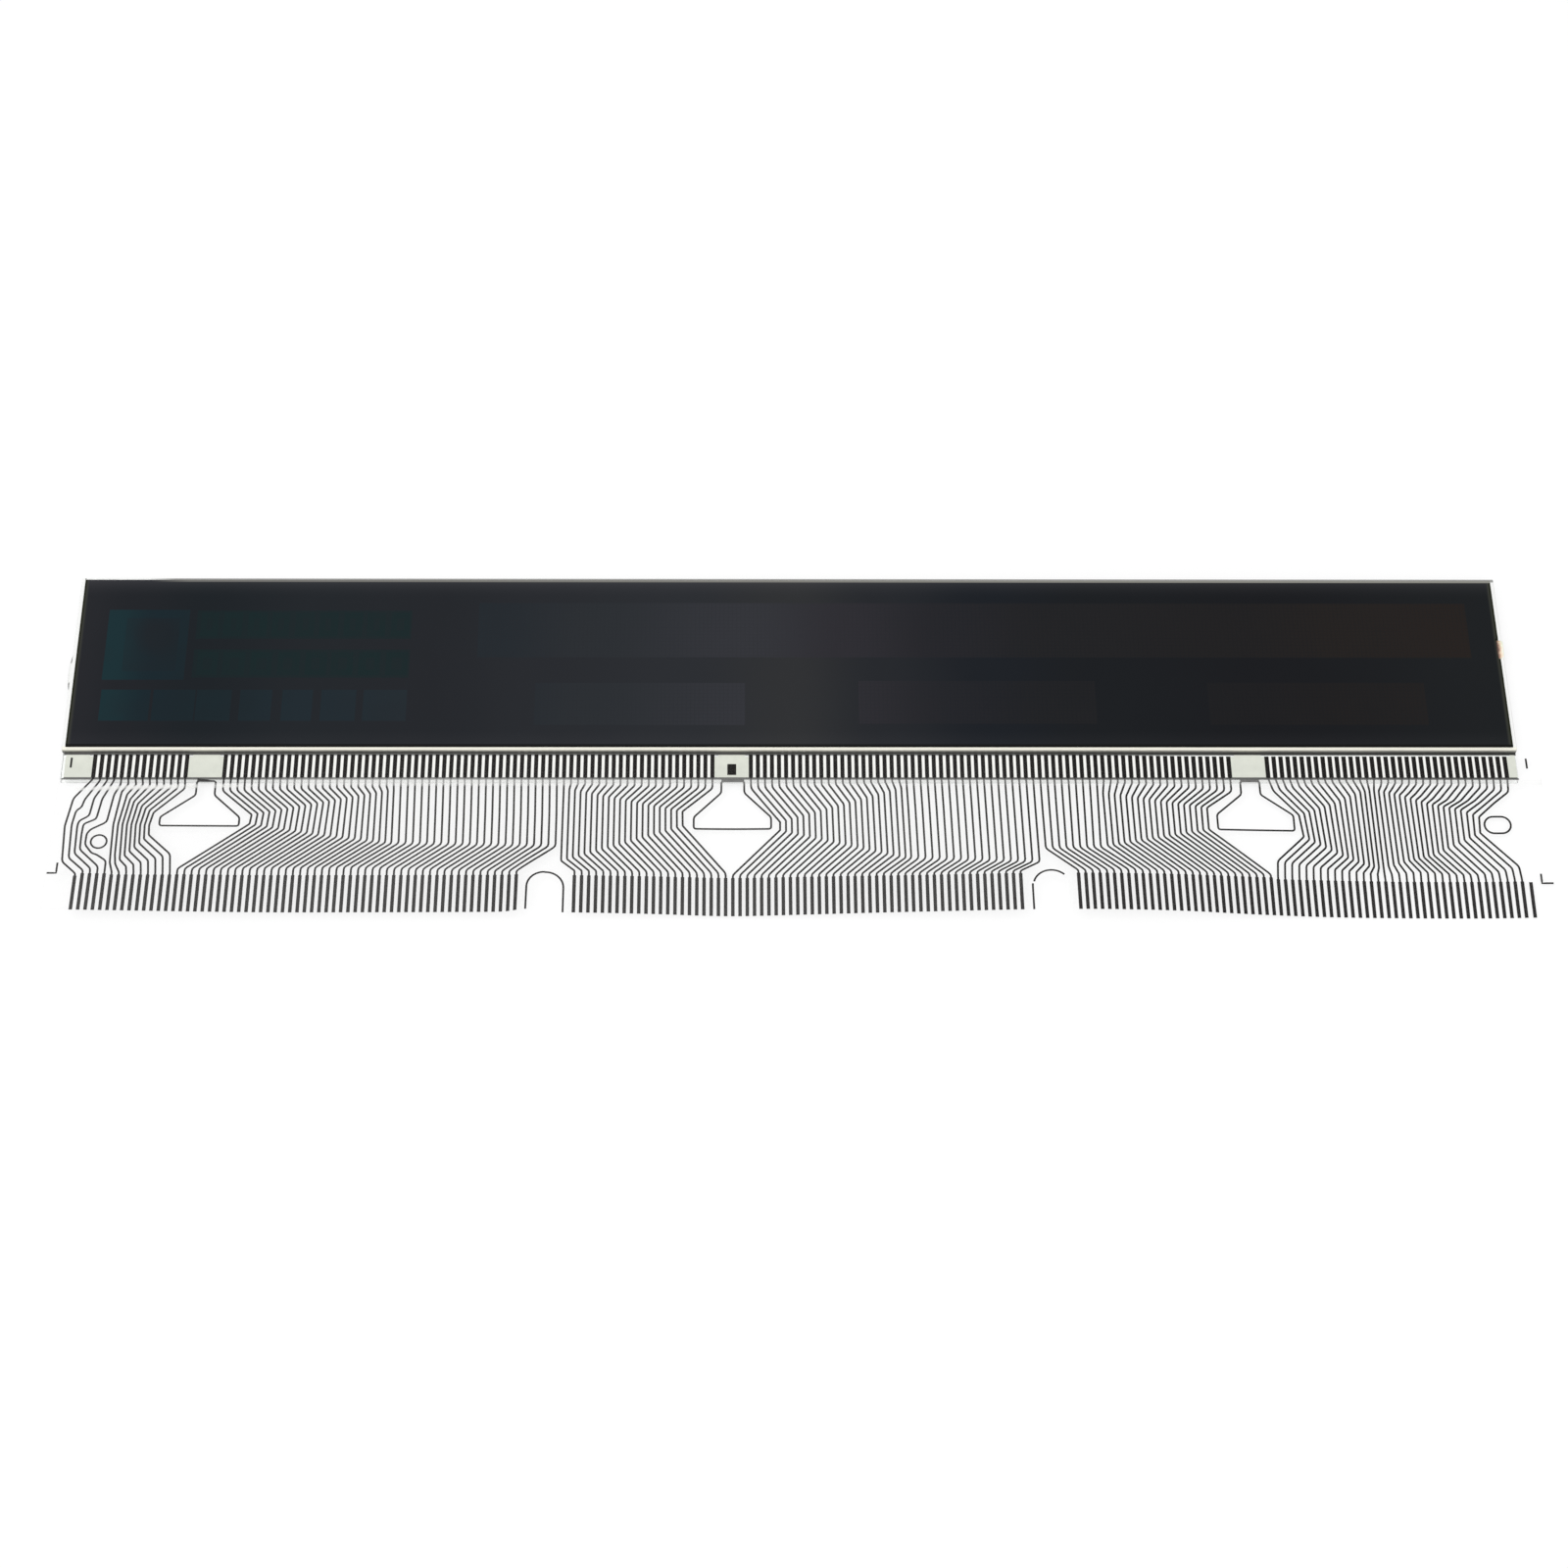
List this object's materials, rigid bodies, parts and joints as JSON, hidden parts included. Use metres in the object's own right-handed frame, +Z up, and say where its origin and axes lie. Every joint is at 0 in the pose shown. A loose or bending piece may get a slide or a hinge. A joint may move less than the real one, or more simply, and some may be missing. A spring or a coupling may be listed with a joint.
{
  "type": "glass liquid crystal display with heat-seal tail",
  "caption": "Long, low glass liquid crystal display in dark grey, with a clear printed polyester tail bonded along its near ledge.",
  "frame": {"origin": "centre of the rear polariser's underside, on the surface that the display lies on", "axes": "+X along the display to the right, +Y away from the tail, +Z up out of the viewed face"},
  "size_m": [0.2102, 0.0558, 0.003],
  "materials": {
    "rear_polariser_film": "smooth dark film",
    "display_glass": "clear, polished",
    "seal_glue": "cured glue",
    "liquid_crystal": "clear liquid film",
    "transfer_silver": "silver-filled glue",
    "front_polariser_film": "smooth dark film",
    "amber_glue": "cured amber glue",
    "clear_glue": "cured clear glue",
    "conductive_glue": "thin glue line",
    "polyester_film": "clear film printed with dark carbon ink"
  },
  "bodies": {
    "root": {"rear_polariser": "rear_polariser_film", "rear_glass": "display_glass", "cell_seal_upper": "seal_glue", "cell_seal_lower": "seal_glue", "liquid_crystal": "liquid_crystal", "transfer_dot_left": "transfer_silver", "transfer_dot_right": "transfer_silver", "front_glass": "display_glass", "front_polariser": "front_polariser_film", "fill_port_plug": "amber_glue", "vent_port_bead": "clear_glue", "tail_bond_1": "conductive_glue", "tail_bond_2": "conductive_glue", "tail_bond_3": "conductive_glue", "tail_bond_4": "conductive_glue", "heat_seal_tail": "polyester_film"}
  },
  "joints": []
}
